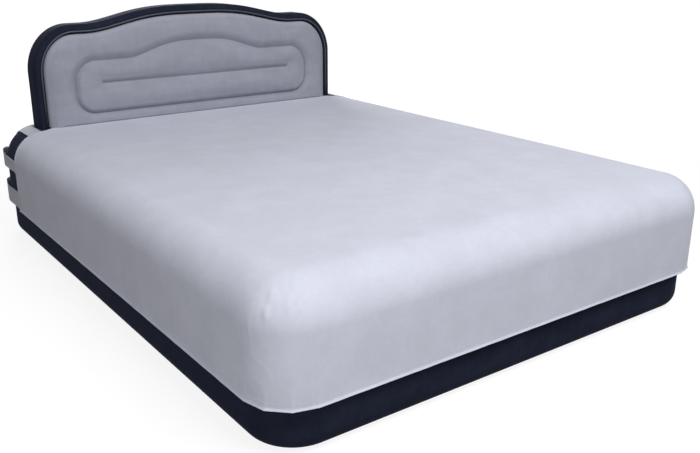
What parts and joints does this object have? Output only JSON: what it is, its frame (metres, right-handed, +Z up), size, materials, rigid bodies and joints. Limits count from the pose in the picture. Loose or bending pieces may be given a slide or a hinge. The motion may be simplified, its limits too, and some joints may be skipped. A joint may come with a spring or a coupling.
{
  "type": "air bed",
  "caption": "Raised air bed with an inflatable camel-back headboard, a fitted sheet strapped on at the head end, and a built-in electric air pump in the head wall.",
  "frame": {"origin": "on the floor, under the middle of the bed", "axes": "+Z up, +Y along the bed towards the headboard end, +X to the right for someone who looks at the bed from its foot end"},
  "size_m": [1.52, 2.02, 0.825],
  "materials": {
    "navy_vinyl": "flocked PVC, dark navy, matt with a soft nap",
    "inner_vinyl": "plain translucent PVC sheet",
    "grey_flock": "flocked PVC, bluish grey, matt with a soft nap",
    "piping": "welded PVC bead, navy, slightly satin",
    "sheet_cloth": "fine smooth woven stretch cloth, pale bluish grey",
    "hem_elastic": "ribbed elastic tape",
    "strap_webbing": "the sheet's own cloth, doubled and stitched flat",
    "hook_patch": "hook and loop pad, dark",
    "black_rubber": "moulded rubber, matt black",
    "black_plastic": "fine grained moulded plastic, black",
    "grey_plastic": "fine grained moulded plastic, dark grey",
    "screw_steel": "zinc plated steel",
    "motor_steel": "drawn steel can"
  },
  "bodies": {
    "bed": {"base_chamber": "navy_vinyl", "mattress_chamber": "navy_vinyl", "mid_weld_flange": "navy_vinyl", "mattress_beam_1": "inner_vinyl", "mattress_beam_2": "inner_vinyl", "mattress_beam_3": "inner_vinyl", "mattress_beam_4": "inner_vinyl", "mattress_beam_5": "inner_vinyl", "base_beam_1": "inner_vinyl", "base_beam_2": "inner_vinyl", "base_beam_3": "inner_vinyl", "transfer_port_left": "grey_plastic", "transfer_port_right": "grey_plastic", "headboard_shell": "navy_vinyl", "headboard_panel": "grey_flock", "headboard_piping": "piping", "headboard_foot_weld": "navy_vinyl", "headboard_groove_tie": "inner_vinyl", "headboard_field_tie": "inner_vinyl", "headboard_port": "grey_plastic", "fitted_sheet": "sheet_cloth", "sheet_hem_elastic": "hem_elastic", "strap_upper_left": "strap_webbing", "strap_upper_right": "strap_webbing", "strap_lower_left": "strap_webbing", "strap_lower_right": "strap_webbing", "strap_top_left": "strap_webbing", "strap_top_right": "strap_webbing", "strap_loop_upper_left": "navy_vinyl", "strap_loop_upper_right": "navy_vinyl", "strap_loop_lower_left": "navy_vinyl", "strap_loop_lower_right": "navy_vinyl", "strap_patch_left": "hook_patch", "strap_patch_right": "hook_patch", "pump_gasket": "black_rubber", "pump_housing": "black_plastic", "pump_bezel": "black_plastic", "bezel_screw_1": "screw_steel", "bezel_screw_2": "screw_steel", "bezel_screw_3": "screw_steel", "bezel_screw_4": "screw_steel", "motor_can": "motor_steel", "motor_cap": "black_plastic", "fan_volute": "black_plastic", "switch_body": "black_plastic", "cord_box": "black_plastic", "cord_gland": "black_rubber", "cord_door_pin": "screw_steel", "outlet_flap_pin": "screw_steel"},
    "dial": {"selector_dial": "grey_plastic", "rotary_valve": "black_plastic"},
    "rocker": {"rocker_switch": "grey_plastic"},
    "cord_door": {"cord_door": "grey_plastic"},
    "fan": {"impeller": "grey_plastic", "motor_shaft": "screw_steel"},
    "outlet_flap": {"outlet_flap": "black_rubber"}
  },
  "joints": [
    {"name": "dial_turn", "type": "hinge", "parent": "bed", "child": "dial", "pos_m": [-0.047, 1.0021, 0.232], "axis": [0, 1, 0], "range_deg": [-60, 60]},
    {"name": "rocker_tilt", "type": "hinge", "parent": "bed", "child": "rocker", "pos_m": [0, 0.9992, 0.232], "axis": [-1, 0, 0], "range_deg": [0, 16]},
    {"name": "cord_door_hinge", "type": "hinge", "parent": "bed", "child": "cord_door", "pos_m": [0.0822, 1.0041, 0.232], "axis": [0, 0, -1], "range_deg": [0, 110]},
    {"name": "fan_spin", "type": "hinge", "parent": "bed", "child": "fan", "pos_m": [-0.047, 0.9467, 0.232], "axis": [0, 1, 0], "continuous": true},
    {"name": "outlet_flap_hinge", "type": "hinge", "parent": "bed", "child": "outlet_flap", "pos_m": [-0.0959, 0.957, 0.246], "axis": [0, 1, 0], "range_deg": [0, 45], "stiffness_Nm_per_rad": 0.001, "springref_deg": -11.46}
  ]
}
